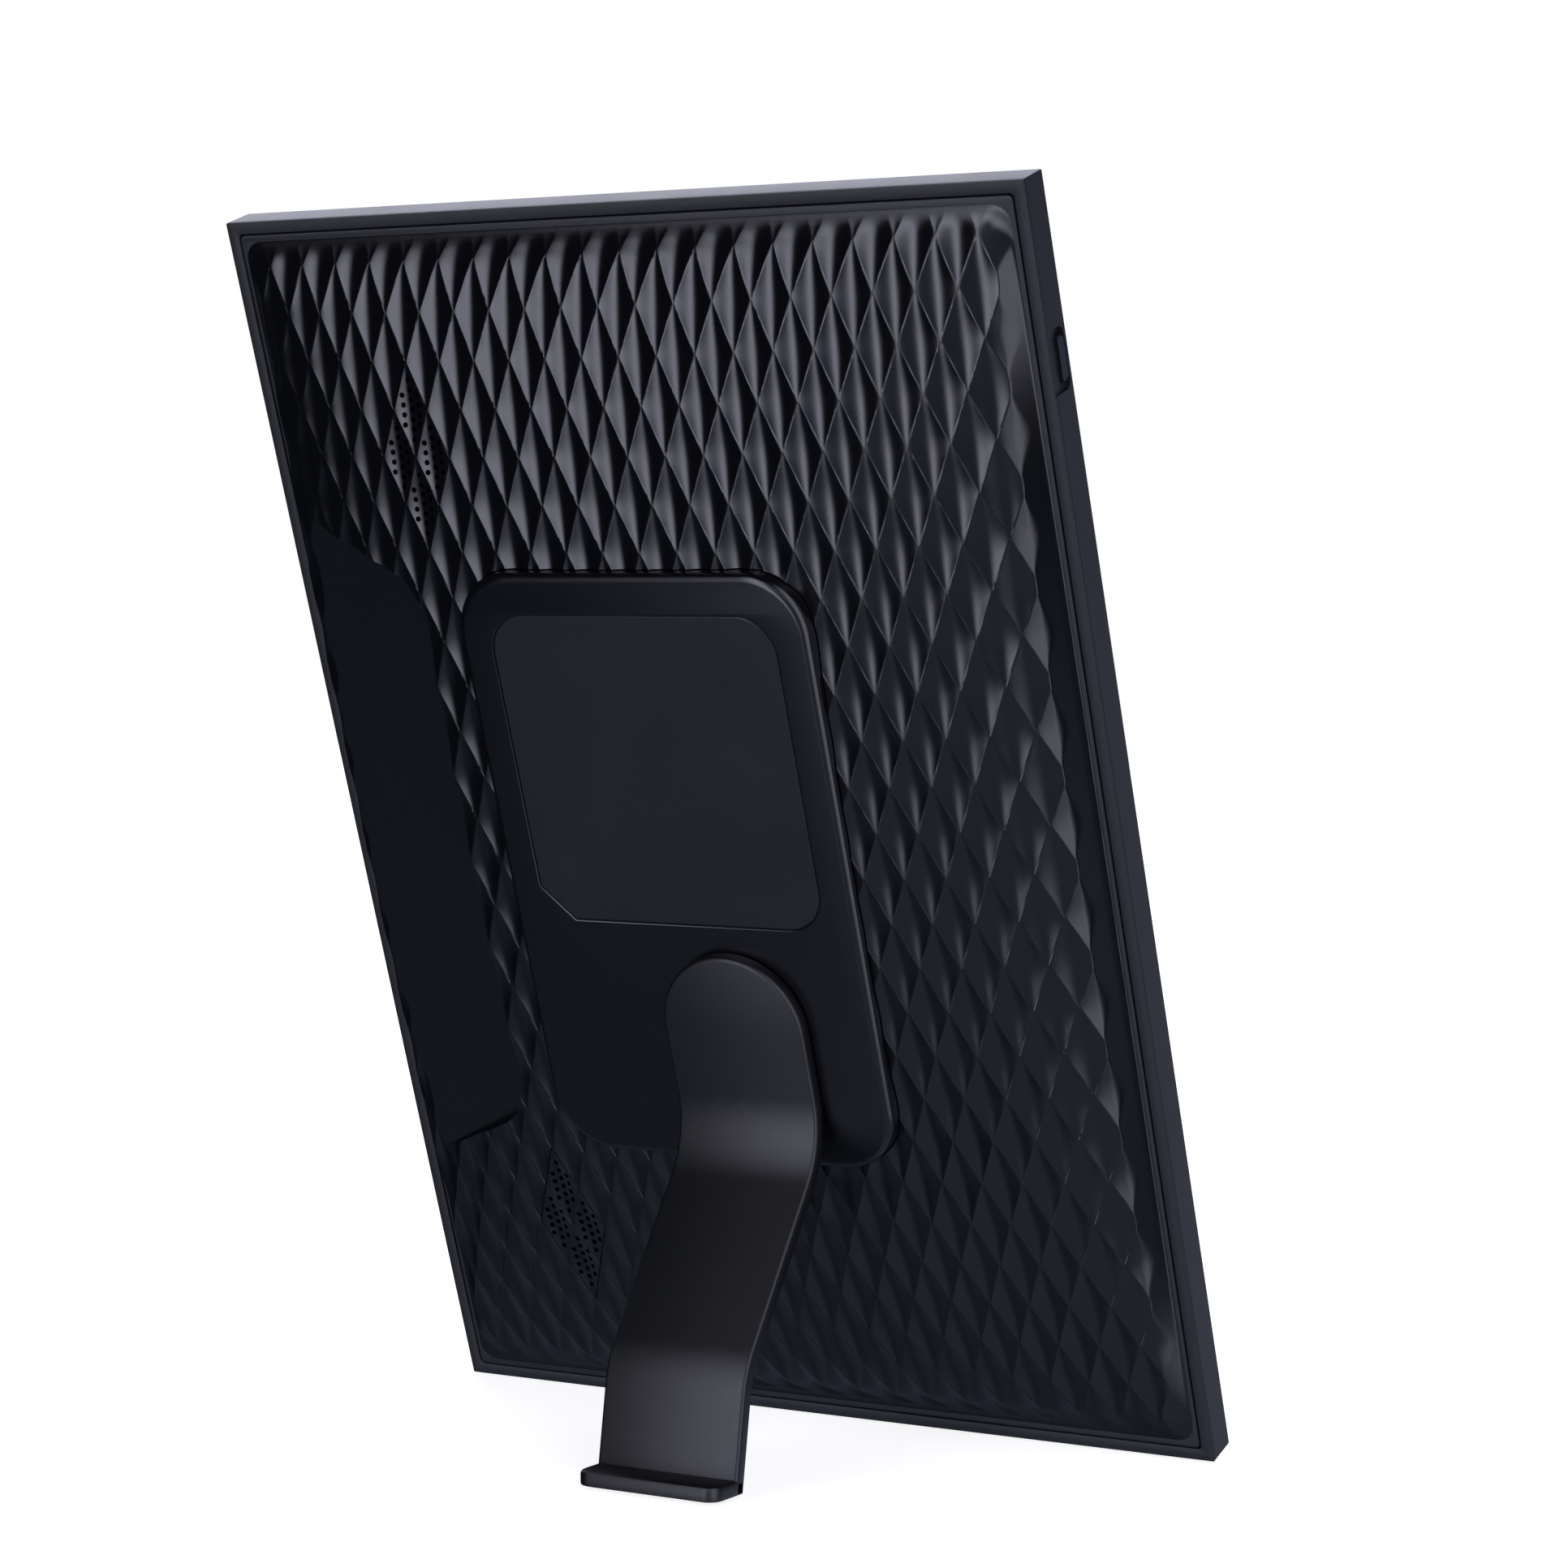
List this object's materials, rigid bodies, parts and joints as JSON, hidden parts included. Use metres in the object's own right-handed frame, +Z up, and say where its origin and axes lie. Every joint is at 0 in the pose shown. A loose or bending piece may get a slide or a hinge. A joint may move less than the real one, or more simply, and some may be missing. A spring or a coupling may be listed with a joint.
{
  "type": "digital photo frame",
  "caption": "Flat digital photo frame in portrait with a domed, diamond-embossed back, a side connector bay, two speaker grilles, a side power button and a slide-on swivelling stand.",
  "frame": {"origin": "on the table surface, under the middle of the frame's box: the panel's bottom rear edge and the stand's foot both touch this level", "axes": "+Z up, +Y towards the back where the stand is, so the screen faces -Y and leans back by 19.3 degrees; +X to the right of a person facing the screen"},
  "size_m": [0.18, 0.0958, 0.2498],
  "materials": {
    "rim_plastic": "satin, fine grain",
    "cover_plastic": "satin, fine grain",
    "leg_plastic": "spark-eroded grain",
    "button_plastic": "satin",
    "label_film": "satin film",
    "screen_glass": "polished, dark",
    "display_glass": "smooth",
    "clear_plastic": "smooth",
    "tape": "woven",
    "sheet_steel": "rolled sheet",
    "spring_steel": "polished",
    "screw_steel": "plated",
    "brass_part": "turned",
    "board": "solder mask",
    "chip": "moulded",
    "black_part": "moulded",
    "white_part": "moulded",
    "flex_film": "satin film",
    "foam": "soft",
    "pad_rubber": "matt"
  },
  "bodies": {
    "frame": {"front_bezel": "rim_plastic", "cover_glass": "screen_glass", "glass_tape": "tape", "lcd_cell": "display_glass", "light_guide": "clear_plastic", "backlight_tray": "sheet_steel", "led_strip": "flex_film", "chassis_plate": "sheet_steel", "chassis_screws": "screw_steel", "display_flex": "flex_film", "touch_flex": "flex_film", "back_cover": "cover_plastic", "speaker_grille_upper": "cover_plastic", "speaker_grille_lower": "cover_plastic", "rating_label": "label_film", "speaker_upper": "black_part", "speaker_lower": "black_part", "speaker_gaskets": "foam", "speaker_screws": "screw_steel", "board_standoffs": "brass_part", "main_board": "board", "board_screws": "screw_steel", "processor": "chip", "memory_chips": "chip", "storage_chip": "chip", "power_regulator": "chip", "shield_can": "sheet_steel", "wifi_module": "chip", "wifi_antenna": "board", "power_jack": "black_part", "jack_pin": "screw_steel", "usb_socket": "sheet_steel", "card_socket": "sheet_steel", "reset_switch": "sheet_steel", "board_connectors": "white_part", "button_board": "board", "power_switch": "sheet_steel", "pivot_bearing": "white_part", "detent_washer": "spring_steel"},
    "power_key": {"power_button": "button_plastic", "switch_plunger": "white_part"},
    "reset_key": {"reset_plunger": "white_part"},
    "swivel": {"stand_hub": "leg_plastic", "hub_retainer": "sheet_steel", "hub_screws": "screw_steel"},
    "leg": {"stand_leg": "leg_plastic", "foot_pad": "pad_rubber"}
  },
  "joints": [
    {"name": "power_button_press", "type": "slide", "parent": "frame", "child": "power_key", "axis": [1, 0, 0], "range_m": [0, 0.0005], "stiffness_N_per_m": 3000, "springref_m": -0.0001},
    {"name": "reset_press", "type": "slide", "parent": "frame", "child": "reset_key", "axis": [-1, 0, 0], "range_m": [0, 0.0003], "stiffness_N_per_m": 3000, "springref_m": -0.0001},
    {"name": "stand_swivel", "type": "hinge", "parent": "frame", "child": "swivel", "pos_m": [-0.009, 0.00628, 0.08848], "axis": [0, -0.9438, 0.3305], "range_deg": [0, 90]},
    {"name": "stand_slide", "type": "slide", "parent": "swivel", "child": "leg", "axis": [0, -0.3305, -0.9438], "range_m": [0, 0.028]}
  ]
}
